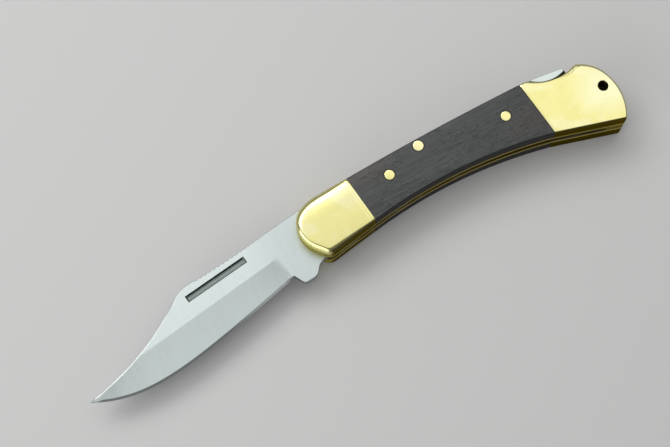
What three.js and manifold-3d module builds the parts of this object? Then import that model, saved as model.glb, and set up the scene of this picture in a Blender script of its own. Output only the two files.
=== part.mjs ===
import * as THREE from 'three';
import { mergeVertices } from 'three/addons/utils/BufferGeometryUtils.js';
import Module from 'manifold-3d';

const wasm = await Module();
wasm.setup();

// A lockback folding knife, blade open, lying on its right side.
// Millimetres. Z is the axis of the blade pivot, the blade points to -X, the back faces +Y,
// and the ground flat of the right side rests on Z = 0.

// Thickness, from one side to the other
const handleThickness = 15;
const bladeThickness = 3;
const linerThickness = 0.8;

// Fits
const sideClearance = 0.05;
const pinClearance = 0.02;
const pivotClearance = 0.05;
const jointGap = 0.03;
const shoulderGap = 0.35;
const lobeClearance = 0.3;
const springGap = 0.3;
const springSideGap = 0.2;
const pointClearance = 1.4;

// Front of the handle, measured from the pivot
const noseReach = 10.3;
const noseHeight = 3.2;
const noseTopX = 2;
const noseTopArm = 7.4;
const noseFrontArm = 6.4;
const noseLowerArm = 3.8;
const chinX = -5.2;
const chinDepth = 6.8;
const chinRound = 2.2;
const chinArm = 5.3;
const chinLean = 128;
const frontJointX = 10.9;
const frontBellyDepth = 4.2;
const backHeight = 12.1;

// Rest of the handle: lengths run forward from the corner of the butt
const buttReach = 97.2;
const buttDepth = 14.4;
const buttCornerArm = [5.4, 7.1];
const buttShoulderArm = [8.9, -3.8];
const buttShoulderInset = 4.2;
const buttShoulderHeight = 8.95;
const rearBolsterLength = 23.5;
const rearBackHeight = 11.85;
const rearBellyDepth = 7.5;
const jointSlant = 1.45;
const backCrown = 0.47;
const bellyArch = 3.05;

// Section of the handle
const edgeRound = 1.4;
const landHalfWidth = 4;
const crownDrop = 0.6;

// Thumb notch and lanyard hole
const notchInset = 10.7;
const notchBottom = 7.75;
const notchRadius = 14.5;
const notchEase = 0.7;
const lanyardInset = 0.75;
const lanyardHeight = -1.7;
const lanyardRadius = 1.6;
const lanyardEase = 0.25;

// Blade outline
const closedPointInset = 7.2;
const tipDrop = 9.4;
const tipBlunt = 0.15;
const edgeBelly = 8.8;
const edgeTipArm = 16;
const edgeHeelArm = 40;
const heelX = -19.5;
const heelDepth = 6.5;
const clipLength = 37.5;
const clipHeight = 15.8;
const clipSag = 2.75;
const spineCornerLength = 5.5;
const spineCornerRise = 1.6;
const spineCornerArm = [2, 1.35];
const spineSag = 0.3;
const spineEndHeight = 10.6;

// Blade grinds
const bevelWidth = 0.95;
const bevelHalfThickness = 0.3;
const grindStart = 18;
const grindStartHeight = -4.8;
const grindSlope = 0.122;
const swedgeWidth = 0.6;
const swedgeDepth = 0.45;
const spineBreak = 0.15;
const edgeBreak = 0.02;
const thinShare = 0.3;
const plungeLength = 2;

// Tang
const choilDepth = 5.85;
const kickX = -13.4;
const kickDepth = 9.6;
const kickHalfWidth = 2.2;
const kickRise = 0.3;
const kickRound = 1.3;
const kickFootX = -8.9;
const kickFootDepth = 6.6;
const tangInset = 0.35;
const tangTopX = -6.5;
const lobeRadius = 8;
const shoulderX = 2.25;

// File work on the spine, and nail groove
const scallopCount = 10;
const scallopPitch = 1.62;
const scallopRadius = 0.85;
const scallopDepth = 0.35;
const scallopInset = 2.6;
const grooveInset = 2.7;
const grooveHeight = 4.1;
const grooveLength = 21.8;
const grooveWidth = 1.9;
const grooveDepth = 0.75;
const grooveFloorRise = 0.55;
const grooveFloorFlat = 0.25;
const grooveTilt = 6.1;

// Pins
const pivotRadius = 2.5;
const barPinX = 35.75;
const barPinHeight = 10;
const barPinRadius = 1.7;
const scalePinRadius = 1.6;
const frontScalePin = { inset: 12.3, height: 6.2 };
const rearScalePin = { inset: 9.2, height: 4.85 };
const rivetRadius = 1.1;
const backRivet = { inset: 2.2, height: 4.8 };
const bellyRivet = { inset: 1.6, height: -9 };

// Lock bar
const tailReach = 4.1;
const tailRise = 1.85;
const tailRound = 0.7;
const bossRadius = 4.5;
const frontUnderside = 7.9;
const middleUnderside = 7.6;
const tailUnderside = 7;
const toothAngle = 52;
const toothFlank = 3.6;

// Rear spacer and lock spring
const armLength = 6.4;
const armWall = 0.8;
const seatHeight = 2.95;
const seatDepth = 5;
const seatRelief = 0.5;
const springThickness = 0.7;
const springTipInset = 1.3;

// Facets
const pinFacets = 28;
const notchFacets = 96;
const scallopFacets = 14;
const arcStep = 9;

// Levels through the thickness
const middle = handleThickness / 2;
const bladeFloor = middle - bladeThickness / 2;
const bladeCeiling = middle + bladeThickness / 2;
const slotFloor = bladeFloor - sideClearance;
const slotCeiling = bladeCeiling + sideClearance;
const rightLinerFloor = slotFloor - linerThickness;
const leftLinerCeiling = slotCeiling + linerThickness;
const belowAll = -handleThickness;
const aboveAll = 2 * handleThickness;
const farAway = 2 * buttReach;

const { clamp, lerp, mapLinear, degToRad, radToDeg } = THREE.MathUtils;

// Points and curves in the plan

const point = (x, y) => new THREE.Vector2(x, y);
const shifted = (place, [x, y]) => point(place.x + x, place.y + y);

function polar(centre, radius, angle) {
  const turn = degToRad(angle);
  return point(centre.x + radius * Math.cos(turn), centre.y + radius * Math.sin(turn));
}

function arc(centre, radius, from, to) {
  const count = Math.max(2, Math.ceil(Math.abs(to - from) / arcStep));
  return Array.from({ length: count + 1 }, (_, i) => polar(centre, radius, lerp(from, to, i / count)));
}

// A shallow curve between two points; its middle stands off the chord, to the right of the way along
function bow(from, to, offset, count) {
  const across = to.clone().sub(from).normalize().rotateAround(point(0, 0), -Math.PI / 2);
  const control = from.clone().lerp(to, 0.5).addScaledVector(across, 2 * offset);
  return new THREE.QuadraticBezierCurve(from, control, to).getPoints(count);
}

// A corner replaced by a curve that meets its two sides at one distance from it
function soften(before, corner, after, reach, count) {
  const toward = (end) => corner.clone().lerp(end, reach / corner.distanceTo(end));
  return new THREE.QuadraticBezierCurve(toward(before), corner, toward(after)).getPoints(count);
}

// Steps from one value to another, without the first; a power above 1 crowds them at the start
function stepsTo(from, to, count, power = 1) {
  return Array.from({ length: count }, (_, i) => lerp(from, to, ((i + 1) / count) ** power));
}

// Height of a run of points at x; past its ends, the height of the nearer end
function heightOn(points, x) {
  for (let i = 1; i < points.length; i += 1) {
    const [a, b] = [points[i - 1], points[i]];
    if ((x - a.x) * (x - b.x) <= 0 && a.x !== b.x) {
      return mapLinear(x, a.x, b.x, a.y, b.y);
    }
  }
  const ends = [points[0], points[points.length - 1]];
  ends.sort((a, b) => Math.abs(x - a.x) - Math.abs(x - b.x));
  return ends[0].y;
}

// Basic solids

function solid(geometry) {
  geometry.deleteAttribute('normal');
  geometry.deleteAttribute('uv');
  const merged = mergeVertices(geometry, 1e-5);
  return new wasm.Manifold(new wasm.Mesh({
    numProp: 3,
    vertProperties: Float32Array.from(merged.attributes.position.array),
    triVerts: Uint32Array.from(merged.index.array),
  }));
}

function prism(points, floor, ceiling) {
  const geometry = new THREE.ExtrudeGeometry(new THREE.Shape(points), {
    depth: ceiling - floor,
    bevelEnabled: false,
  });
  return solid(geometry.translate(0, 0, floor));
}

function rod(centre, radius, floor = belowAll, ceiling = aboveAll, facets = pinFacets) {
  const geometry = new THREE.CylinderGeometry(radius, radius, ceiling - floor, facets);
  geometry.rotateX(Math.PI / 2);
  return solid(geometry.translate(centre.x, centre.y, (floor + ceiling) / 2));
}

// A round cutter through the handle, whose mouth is rounded over on both faces
function easedBore(centre, radius, ease, facets) {
  const mouth = (angle) => polar(point(radius + ease, ease), ease, angle);
  const lower = [270, 240, 210, 180].map(mouth);
  const upper = [...lower].reverse().map(({ x, y }) => point(x, handleThickness - y));
  const profile = [
    point(0, belowAll),
    point(radius + ease, belowAll),
    ...lower,
    ...upper,
    point(radius + ease, aboveAll),
    point(0, aboveAll),
  ];
  const geometry = new THREE.LatheGeometry(profile, facets).rotateX(Math.PI / 2);
  return solid(geometry.translate(centre.x, centre.y, 0));
}

// A closed skin over convex rings of one count, which turn anticlockwise seen from +X
function loft(rings) {
  const count = rings[0].length;
  const last = (rings.length - 1) * count;
  const indices = [];
  for (let ring = 0; ring < last; ring += count) {
    for (let i = 0; i < count; i += 1) {
      const next = (i + 1) % count;
      indices.push(ring + i, ring + next, ring + count + next);
      indices.push(ring + i, ring + count + next, ring + count + i);
    }
  }
  for (let i = 1; i < count - 1; i += 1) {
    indices.push(0, i + 1, i);
    indices.push(last, last + i, last + i + 1);
  }
  const positions = rings.flat().flatMap((corner) => corner.toArray());
  const geometry = new THREE.BufferGeometry();
  geometry.setAttribute('position', new THREE.Float32BufferAttribute(positions, 3));
  geometry.setIndex(indices);
  return solid(geometry);
}

// Handle outline, anticlockwise: belly, butt, back and nose

const pivot = point(0, 0);
const rearJointX = buttReach - rearBolsterLength;
const frontBack = point(frontJointX, backHeight);
const frontBelly = point(frontJointX + jointSlant, -frontBellyDepth);
const rearBack = point(rearJointX, rearBackHeight);
const rearBelly = point(rearJointX + jointSlant, -rearBellyDepth);
const buttCorner = point(buttReach, -buttDepth);
const buttShoulder = point(buttReach - buttShoulderInset, buttShoulderHeight);
const chin = point(chinX, -chinDepth);
const noseFront = point(-noseReach, noseHeight);
const noseTop = point(noseTopX, backHeight);

const belly = [chin, ...bow(frontBelly, rearBelly, -bellyArch, 14), buttCorner];

const butt = new THREE.CubicBezierCurve(
  buttCorner,
  shifted(buttCorner, buttCornerArm),
  shifted(buttShoulder, buttShoulderArm),
  buttShoulder,
).getPoints(14);

const back = [
  ...bow(buttShoulder, rearBack, backCrown, 4),
  ...bow(rearBack, frontBack, backCrown, 8).slice(1),
  noseTop,
];

const upperNose = new THREE.CubicBezierCurve(
  noseTop,
  shifted(noseTop, [-noseTopArm, 0]),
  shifted(noseFront, [0, noseFrontArm]),
  noseFront,
).getPoints(9);

const lowerNose = new THREE.CubicBezierCurve(
  noseFront,
  shifted(noseFront, [0, -noseLowerArm]),
  polar(chin, chinArm, chinLean),
  polar(chin, chinRound, chinLean),
).getPoints(6);

const handleOutline = [
  ...soften(polar(chin, chinArm, chinLean), chin, frontBelly, chinRound, 4),
  ...belly.slice(1),
  ...butt.slice(1),
  ...back.slice(1),
  ...upperNose.slice(1),
  ...lowerNose.slice(1, -1),
];

// The handle as one ground body: rounded edges, and a flat land that falls away to back and belly

const crownReach = 1.35;
const crownShares = [0, 0.35, 0.6, 0.8, 1];

function crownSection(x) {
  const centre = (heightOn(back, x) + heightOn(belly, x)) / 2;
  const halfWidth = (heightOn(back, x) - heightOn(belly, x)) / 2;
  const corners = crownShares.map((share) => {
    const across = lerp(landHalfWidth, crownReach * halfWidth, share);
    const fall = (across - landHalfWidth) / (halfWidth - landHalfWidth);
    return [across, middle - crownDrop * fall ** 2];
  });
  const inward = [...corners].reverse();
  return [
    ...corners.map(([across, depth]) => [across, -depth]),
    ...inward,
    ...corners.map(([across, depth]) => [-across, depth]),
    ...inward.map(([across, depth]) => [-across, -depth]),
  ].map(([across, depth]) => new THREE.Vector3(x, centre + across, middle + depth));
}

function groundHandle() {
  const rounded = new THREE.ExtrudeGeometry(new THREE.Shape(handleOutline), {
    depth: handleThickness - 2 * edgeRound,
    bevelThickness: edgeRound,
    bevelSize: edgeRound,
    bevelOffset: -edgeRound,
    bevelSegments: 4,
  }).translate(0, 0, edgeRound);
  const start = -noseReach - edgeRound;
  const end = buttReach + rearBolsterLength / 2;
  const stations = [start, ...stepsTo(start, end, 14)];
  return solid(rounded).intersect(loft(stations.map(crownSection)));
}

const notchCentre = point(buttReach - notchInset, notchBottom + notchRadius);
const lanyardCentre = point(buttReach - lanyardInset, lanyardHeight);
const notch = easedBore(notchCentre, notchRadius, notchEase, notchFacets);
const lanyardHole = easedBore(lanyardCentre, lanyardRadius, lanyardEase, pinFacets);
const handleBody = groundHandle().subtract(notch).subtract(lanyardHole);

// Pins, ground flush with the handle; the short ones leave the blade slot free

function pin(centre, radius, floor = 0, ceiling = handleThickness) {
  return { centre, radius, floor, ceiling };
}

const barPin = point(barPinX, barPinHeight);
const frontPinPlace = point(frontJointX + frontScalePin.inset, frontScalePin.height);
const rearPinPlace = point(rearJointX - rearScalePin.inset, rearScalePin.height);

const pins = {
  pivot_pin: pin(pivot, pivotRadius),
  lock_bar_pin: pin(barPin, barPinRadius),
  left_scale_pin_front: pin(frontPinPlace, scalePinRadius, slotCeiling),
  left_scale_pin_rear: pin(rearPinPlace, scalePinRadius, slotCeiling),
  right_scale_pin_front: pin(frontPinPlace, scalePinRadius, 0, slotFloor),
  right_scale_pin_rear: pin(rearPinPlace, scalePinRadius, 0, slotFloor),
  rear_rivet_back: pin(point(buttReach - backRivet.inset, backRivet.height), rivetRadius),
  rear_rivet_belly: pin(point(buttReach - bellyRivet.inset, bellyRivet.height), rivetRadius),
};

function pinSolid({ centre, radius, floor, ceiling }) {
  return rod(centre, radius, floor, ceiling).intersect(handleBody);
}

// Every pin that passes between two levels gets its hole in the piece there
function drilled(piece, floor, ceiling) {
  return Object.values(pins)
    .filter((each) => each.floor < ceiling && each.ceiling > floor)
    .reduce((rest, each) => rest.subtract(rod(each.centre, each.radius + pinClearance)), piece);
}

// Sides of the handle: two bolsters and a scale, cut from the ground body along the slanted joints

function alongJoint([back_, belly_], y, shift) {
  return point(mapLinear(y, belly_.y, back_.y, belly_.x, back_.x) + shift, y);
}

function planBetween(leftJoint, rightJoint) {
  const left = (y) => (leftJoint ? alongJoint(leftJoint, y, jointGap / 2) : point(-farAway, y));
  const right = (y) => (rightJoint ? alongJoint(rightJoint, y, -jointGap / 2) : point(farAway, y));
  return [left(-farAway), right(-farAway), right(farAway), left(farAway)];
}

const frontJoint = [frontBack, frontBelly];
const rearJoint = [rearBack, rearBelly];
const sidePlans = {
  front_bolster: planBetween(null, frontJoint),
  scale: planBetween(frontJoint, rearJoint),
  rear_bolster: planBetween(rearJoint, null),
};

function sideSolid(piece, floor, ceiling) {
  return drilled(handleBody.intersect(prism(sidePlans[piece], floor, ceiling)), floor, ceiling);
}

// Liners and rear spacer are cut from sheet to the outline, and open with the notch and the hole

function sheet(plan, floor, ceiling) {
  return drilled(prism(plan, floor, ceiling).subtract(notch).subtract(lanyardHole), floor, ceiling);
}

// Blade outline

const bladeTip = point(closedPointInset - buttReach, -tipDrop);
const bladeReach = pivot.distanceTo(bladeTip);
const heel = point(heelX, -heelDepth);
const plungeEnd = heelX + plungeLength;
const clipEnd = shifted(bladeTip, [clipLength, clipHeight]);
const spineStart = shifted(clipEnd, [spineCornerLength, spineCornerRise]);
const spineEnd = point(plungeEnd, spineEndHeight);
const tangTop = backHeight - tangInset;

const edgeCurve = new THREE.CubicBezierCurve(
  bladeTip,
  shifted(bladeTip, [edgeTipArm, -edgeBelly]),
  shifted(heel, [-edgeHeelArm, -edgeBelly]),
  heel,
).getPoints(60);

const spineCorner = new THREE.QuadraticBezierCurve(clipEnd, shifted(clipEnd, spineCornerArm), spineStart);

const spineCurve = [
  ...bow(bladeTip, clipEnd, clipSag, 30),
  ...spineCorner.getPoints(6).slice(1),
  ...bow(spineStart, spineEnd, spineSag, 8).slice(1),
  point(tangTopX, tangTop),
  point(shoulderX, tangTop),
];

// Half the section of the ground blade: the edge, then pairs of height and half thickness above it
function bladeProfile(x) {
  const full = bladeThickness / 2;
  const top = heightOn(spineCurve, x);
  const ramp = clamp(mapLinear(x, heelX, plungeEnd, 0, 1), 0, 1);
  const edge = lerp(heightOn(edgeCurve, x), -choilDepth, ramp);
  const bevel = lerp(Math.min(bevelWidth, thinShare * (top - edge)), edgeBreak, ramp);
  const bevelTop = edge + bevel;
  const bevelHalf = lerp((bevelHalfThickness * bevel) / bevelWidth, full, ramp);
  const grindLine = grindStartHeight + grindSlope * (x - bladeTip.x - grindStart);
  const grindTop = lerp(grindLine, bevelTop + bevelWidth, ramp);
  const halfAt = (y) => clamp(mapLinear(y, bevelTop, grindTop, bevelHalf, full), bevelHalf, full);
  const onSpine = x > clipEnd.x;
  const swedge = onSpine ? spineBreak : Math.min(swedgeWidth, thinShare * (top - bevelTop));
  const chamfer = onSpine ? spineBreak : Math.min(swedgeDepth, thinShare * halfAt(top));
  const swedgeFoot = top - swedge;
  const grindFoot = Math.min(grindTop, lerp(swedgeFoot, bevelTop, thinShare));
  return [
    [edge, 0],
    [bevelTop, bevelHalf],
    [grindFoot, halfAt(grindFoot)],
    [swedgeFoot, halfAt(swedgeFoot)],
    [top, halfAt(swedgeFoot) - chamfer],
  ];
}

function bladeSection(x) {
  const [edge, ...side] = bladeProfile(x);
  const corners = [edge, ...side.map(([y, half]) => [y, -half]), ...side.reverse()];
  return corners.map(([y, half]) => new THREE.Vector3(x, y, middle + half));
}

function groundBlade() {
  const start = bladeTip.x + tipBlunt;
  const stations = [
    start,
    ...stepsTo(start, clipEnd.x, 11, 1.7),
    ...stepsTo(clipEnd.x, spineStart.x, 3),
    ...stepsTo(spineStart.x, heelX, 4),
    ...stepsTo(heelX, plungeEnd, 4),
    tangTopX,
    shoulderX,
  ];
  return loft(stations.map(bladeSection));
}

// Tang: ricasso, kick, and the round lobe that turns under the tooth of the lock bar
function tangOutline() {
  const choil = point(plungeEnd, -choilDepth);
  const kickFront = point(kickX - kickHalfWidth, -kickDepth);
  const kickRear = point(kickX + kickHalfWidth, -kickDepth + kickRise);
  const kickFoot = point(kickFootX, -kickFootDepth);
  const lobeStart = -radToDeg(Math.asin((frontBellyDepth + tangInset) / lobeRadius));
  const lobeEnd = radToDeg(Math.acos(shoulderX / lobeRadius));
  return [
    choil,
    ...soften(choil, kickFront, kickRear, kickRound, 3),
    ...soften(kickFront, kickRear, kickFoot, kickRound, 3),
    kickFoot,
    shifted(chin, [-kickRound, kickRound]),
    point(pivot.x, heightOn([chin, frontBelly], pivot.x) + tangInset),
    ...arc(pivot, lobeRadius, lobeStart, lobeEnd),
    point(shoulderX, tangTop - spineBreak),
    point(tangTopX, tangTop - spineBreak),
    point(plungeEnd, spineEndHeight - spineBreak),
  ];
}

// The groove has a steep wall toward the spine and a floor that rises toward the edge
function nailGroove() {
  const half = grooveWidth / 2;
  const section = [
    [half, grooveDepth],
    [-half, grooveDepth],
    [-half, grooveFloorRise - grooveDepth],
    [half - grooveFloorFlat, -grooveDepth],
    [half, -grooveDepth],
  ];
  const ring = (x) => section.map(([y, z]) => new THREE.Vector3(x, y, z));
  return loft([ring(0), ring(grooveLength)])
    .rotate([0, 0, grooveTilt])
    .translate([clipEnd.x + grooveInset, grooveHeight, bladeCeiling]);
}

function scallops() {
  return Array.from({ length: scallopCount }, (_, i) => {
    const x = spineStart.x + scallopInset + i * scallopPitch;
    const centre = point(x, heightOn(spineCurve, x) + scallopRadius - scallopDepth);
    return rod(centre, scallopRadius, belowAll, aboveAll, scallopFacets);
  });
}

function bladeSolid() {
  const tang = prism(tangOutline(), bladeFloor, bladeCeiling);
  const bladeHole = rod(pivot, pivotRadius + pivotClearance);
  const cuts = [nailGroove(), bladeHole, ...scallops()];
  return cuts.reduce((rest, cut) => rest.subtract(cut), groundBlade().add(tang));
}

// Lock bar: a lever on its pin, with a tooth over the tang and a tail in the thumb notch

const tailX = notchCentre.x + tailReach;
const barUnderside = (x) => mapLinear(x, barPinX, tailX, middleUnderside, tailUnderside);

function lockBarOutline() {
  const frontX = shoulderX + shoulderGap;
  const topAt = (x) => heightOn(back, x) + mapLinear(x, barPinX, tailX, 0, tailRise);
  const top = [frontX, ...stepsTo(frontX, tailX - tailRound, 10)];
  const toothRadius = lobeRadius + lobeClearance;
  const toothStart = radToDeg(Math.acos(frontX / toothRadius));
  const toothEnd = polar(pivot, toothRadius, toothAngle);
  const bossAngle = (y) => radToDeg(Math.asin((barPinHeight - y) / bossRadius));
  const bossFront = 180 + bossAngle(frontUnderside);
  const bossRear = 360 - bossAngle(barUnderside(barPinX + bossRadius));
  return [
    ...top.map((x) => point(x, topAt(x))),
    point(tailX, topAt(tailX) - tailRound),
    point(tailX, tailUnderside),
    ...arc(barPin, bossRadius, bossRear, bossFront),
    point(toothEnd.x + toothFlank, frontUnderside),
    ...arc(pivot, toothRadius, toothAngle, toothStart),
  ];
}

function lockBarSolid() {
  const barHole = rod(barPin, barPinRadius + pivotClearance);
  return prism(lockBarOutline(), bladeFloor, bladeCeiling).subtract(barHole);
}

// Rear spacer: fills the butt behind the closed blade's point, and its arm holds the lock spring

const spacerFront = bladeReach + pointClearance;
const armFront = spacerFront - armLength;
const seatHalf = springThickness / 2 + pinClearance;

function spacerSolid() {
  const seatEnd = armFront + seatDepth + seatRelief;
  const upper = seatHeight + seatHalf;
  const lower = seatHeight - seatHalf;
  const plan = [
    point(spacerFront, -farAway),
    point(farAway, -farAway),
    point(farAway, farAway),
    point(spacerFront, farAway),
    point(spacerFront, upper + armWall),
    point(armFront, upper + armWall),
    point(armFront, upper),
    point(seatEnd, upper),
    point(seatEnd, lower),
    point(armFront, lower),
    point(armFront, lower - armWall),
    point(spacerFront, lower - armWall),
  ];
  const block = sheet(handleOutline, slotFloor, slotCeiling);
  return block.intersect(prism(plan, slotFloor, slotCeiling));
}

// Lock spring: a leaf seated in the spacer's arm, rising to the underside of the bar's tail
function springSolid() {
  const half = springThickness / 2;
  const seat = point(armFront, seatHeight);
  const tipX = rearJointX + springTipInset;
  const tip = point(tipX, barUnderside(tipX) - springGap - half);
  const arm = [(seat.x - tip.x) / 2, 0];
  const rise = new THREE.CubicBezierCurve(
    seat, point(seat.x - arm[0], seat.y), shifted(tip, arm), tip,
  );
  const line = [point(seat.x + seatDepth, seat.y), ...rise.getPoints(12)];
  const side = (offset) => line.map((place, i) => {
    const before = line[Math.max(i - 1, 0)];
    const after = line[Math.min(i + 1, line.length - 1)];
    const along = after.clone().sub(before).setLength(offset);
    return shifted(place, [-along.y, along.x]);
  });
  const outline = [...side(half), ...side(-half).reverse()];
  return prism(outline, bladeFloor + springSideGap, bladeCeiling - springSideGap);
}

// Finishes and meshes

const brass = { color: 0xdcc56a, roughness: 0.22, metalness: 1 };
const satinBrass = { color: 0xc7ae5c, roughness: 0.35, metalness: 1 };
const bladeSteel = { color: 0xc9cfcf, roughness: 0.38, metalness: 1 };
const barSteel = { color: 0xb8bcbc, roughness: 0.35, metalness: 1 };
const springSteel = { color: 0x8d9192, roughness: 0.4, metalness: 1 };
const wood = { color: 0x2b2826, roughness: 0.5, metalness: 0 };

function meshOf(name, piece, finish) {
  const { vertProperties, triVerts } = piece.getMesh();
  const geometry = new THREE.BufferGeometry();
  geometry.setAttribute('position', new THREE.Float32BufferAttribute(vertProperties, 3));
  geometry.setIndex(new THREE.Uint32BufferAttribute(triVerts, 1));
  geometry.computeVertexNormals();
  const mesh = new THREE.Mesh(geometry, new THREE.MeshStandardMaterial(finish));
  mesh.name = name;
  return mesh;
}

// Assembly

const sides = {
  left: { liner: [slotCeiling, leftLinerCeiling], outer: [leftLinerCeiling, aboveAll] },
  right: { liner: [rightLinerFloor, slotFloor], outer: [belowAll, rightLinerFloor] },
};
const knife = new THREE.Group();

for (const [side, { liner, outer }] of Object.entries(sides)) {
  knife.add(meshOf(`${side}_liner`, sheet(handleOutline, ...liner), satinBrass));
  knife.add(meshOf(`${side}_front_bolster`, sideSolid('front_bolster', ...outer), brass));
  knife.add(meshOf(`${side}_scale`, sideSolid('scale', ...outer), wood));
  knife.add(meshOf(`${side}_rear_bolster`, sideSolid('rear_bolster', ...outer), brass));
}
for (const [name, each] of Object.entries(pins)) {
  knife.add(meshOf(name, pinSolid(each), brass));
}
knife.add(meshOf('rear_spacer', spacerSolid(), satinBrass));
knife.add(meshOf('lock_spring', springSolid(), springSteel));
knife.add(meshOf('lock_bar', lockBarSolid(), barSteel));
knife.add(meshOf('blade', bladeSolid(), bladeSteel));

export default knife;
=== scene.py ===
import math
from dataclasses import dataclass

import bmesh
import bpy
import numpy as np
from mathutils import Matrix, Vector


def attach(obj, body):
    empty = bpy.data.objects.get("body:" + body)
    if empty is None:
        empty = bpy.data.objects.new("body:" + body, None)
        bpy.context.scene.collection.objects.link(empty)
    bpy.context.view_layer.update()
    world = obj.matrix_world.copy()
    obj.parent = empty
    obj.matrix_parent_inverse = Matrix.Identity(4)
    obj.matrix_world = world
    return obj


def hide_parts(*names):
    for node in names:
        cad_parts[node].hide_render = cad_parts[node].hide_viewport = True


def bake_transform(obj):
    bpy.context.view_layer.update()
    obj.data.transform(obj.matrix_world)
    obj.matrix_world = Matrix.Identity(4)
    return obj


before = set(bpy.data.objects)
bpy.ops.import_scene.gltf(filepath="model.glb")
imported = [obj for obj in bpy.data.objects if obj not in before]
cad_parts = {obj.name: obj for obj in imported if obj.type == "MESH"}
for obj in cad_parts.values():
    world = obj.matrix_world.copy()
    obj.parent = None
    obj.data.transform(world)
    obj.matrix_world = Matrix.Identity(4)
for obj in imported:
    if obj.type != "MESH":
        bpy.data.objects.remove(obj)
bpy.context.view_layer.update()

# A lockback folding knife lying on its right side, blade open.
# Plans are in millimetres and angles in degrees: x runs to the butt, y to the back, z up from the ground.
# Bolsters and scales of the left side start at the side floor; the left liner starts at the slot's ceiling.
MM = 0.001
THICKNESS = 15.0
MIDDLE = THICKNESS / 2
SIDE_FLOOR = 9.85
SLOT_CEILING = 9.05
HALF_BLADE = 1.5
JOINT_GAP = 0.015
PIN_GAP = 0.07

# Corners of the handle's outline
CHIN = (-5.2, -6.8)
NOSE_FRONT = (-10.3, 3.2)
NOSE_TOP = (2.0, 12.1)
FRONT_BACK = (10.9, 12.1)
FRONT_BELLY = (12.35, -4.2)
REAR_BACK = (73.7, 11.85)
REAR_BELLY = (75.15, -7.5)
BUTT_CORNER = (97.2, -14.4)
BUTT_SHOULDER = (93.0, 8.95)
BELLY_ARCH = 3.05
BACK_CROWN = 0.47
CHIN_LEAN = 128
CHIN_ARM = 5.3
CHIN_ROUND = 2.2

# Thumb notch, the round on the lock bar beyond which a painted shadow darkens it, lanyard hole and pins
NOTCH = (86.5, 22.25)
NOTCH_RADIUS = 14.5
SHADOW_EDGE_ROUND = ((86.6, 20.5), 10.72)
HOLE = (96.45, -1.7)
HOLE_RADIUS = 1.6
PIVOT = (0.0, 0.0)
BAR_PIN = (35.75, 10.0)
FRONT_PIN = (23.2, 6.2)
REAR_PIN = (64.5, 4.85)
BACK_RIVET = (95.0, 4.8)
BELLY_RIVET = (95.6, -9.0)
PIVOT_RADIUS = 2.5
BAR_PIN_RADIUS = 1.7
SCALE_PIN_RADIUS = 1.6
RIVET_RADIUS = 1.1
PINS_IN_WOOD = ((FRONT_PIN, SCALE_PIN_RADIUS), (BAR_PIN, BAR_PIN_RADIUS), (REAR_PIN, SCALE_PIN_RADIUS))
PIN_EASE = 0.12
PIN_DOME = ((0.0, 0.05), (0.35, 0.046), (0.7, 0.025), (0.86, 0.0), (0.96, -0.03), (1.0, -PIN_EASE))

# Face of the handle: a flat land that falls away to the back and the belly, most of all at the front
CROWN_X = (-10, 5, 12, 30, 74, 100)
CROWN_DROP = (0.75, 0.75, 0.6, 0.3, 0.2, 0.12)
LAND_WIDTH = (1.5, 1.5, 2.5, 4.0, 4.0, 5.0)
LINE_WIDTH = 0.2

# Meshes: points nearer than this are one (in metres); edges past these angles are sharp
MERGE_GAP = 2e-6
PLATE_CREASE = 28
BLADE_CREASE = 7.5
EASED_CREASE = 20
ROUND_CREASE = 40

# Blade: corners of its plan, then widths and half thicknesses of what is ground on it
TIP = (-90.0, -9.4)
CLIP_END = (-52.5, 6.4)
SPINE_START = (-47.0, 8.0)
SPINE_END = (-17.5, 10.6)
HEEL = (-19.5, -6.5)
CHOIL = (-17.5, -5.85)
TANG_TOP = 11.75
LOBE = 8.0
SHOULDER_X = 2.25
TIP_FACE = 0.12
EDGE_HALF = 0.02
EDGE_BREAK = 0.12
BREAK_WIDTH = 0.15
TIP_SHARE = 0.3
HONED_WIDTH = 0.8
HONED_HALF = 0.3
HOLLOW = 0.04
GRIND_START = (-72.0, -4.8)
GRIND_SLOPE = 0.122
LEAST_GRIND = 6
PLUNGE_START_X = HEEL[0] - 1.3
PLUNGE_LENGTH = 3.3
PLUNGE_HEIGHT = 8
PLUNGE_LEAN = 1.3
TANG_FOOT = 4.55

# Thumb grooves along the spine, deepest first, and the nail groove
THUMB_START_X = -44.4
THUMB_PITCH = 1.62
THUMB_RADIUS = 0.85
THUMB_DEPTHS = (*[0.35] * 10, 0.28, 0.25, 0.22, 0.19, 0.16)
NAIL_START = (-49.8, 4.1)
NAIL_LENGTH = 21.8
NAIL_TURN = 6.1


# Plan curves


def bezier(*controls, count):
    """Points along a Bezier curve of any degree."""
    t = np.linspace(0, 1, count + 1)[:, None]
    degree = len(controls) - 1
    return sum(
        math.comb(degree, k) * (1 - t) ** (degree - k) * t**k * np.array(control, float)
        for k, control in enumerate(controls)
    )


def bow(start, end, offset, count):
    """A shallow curve; its middle stands off the chord, to the right of the way along."""
    start, end = np.array(start, float), np.array(end, float)
    along = (end - start) / np.linalg.norm(end - start)
    return bezier(start, (start + end) / 2 + 2 * offset * np.array([along[1], -along[0]]), end, count=count)


def moved(place, dx, dy):
    """A place shifted in the plan."""
    return (place[0] + dx, place[1] + dy)


def polar(centre, radius, angle):
    """Places on a circle, at one angle or many."""
    turn = np.radians(angle)
    return np.stack([centre[0] + radius * np.cos(turn), centre[1] + radius * np.sin(turn)], -1)


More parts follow.
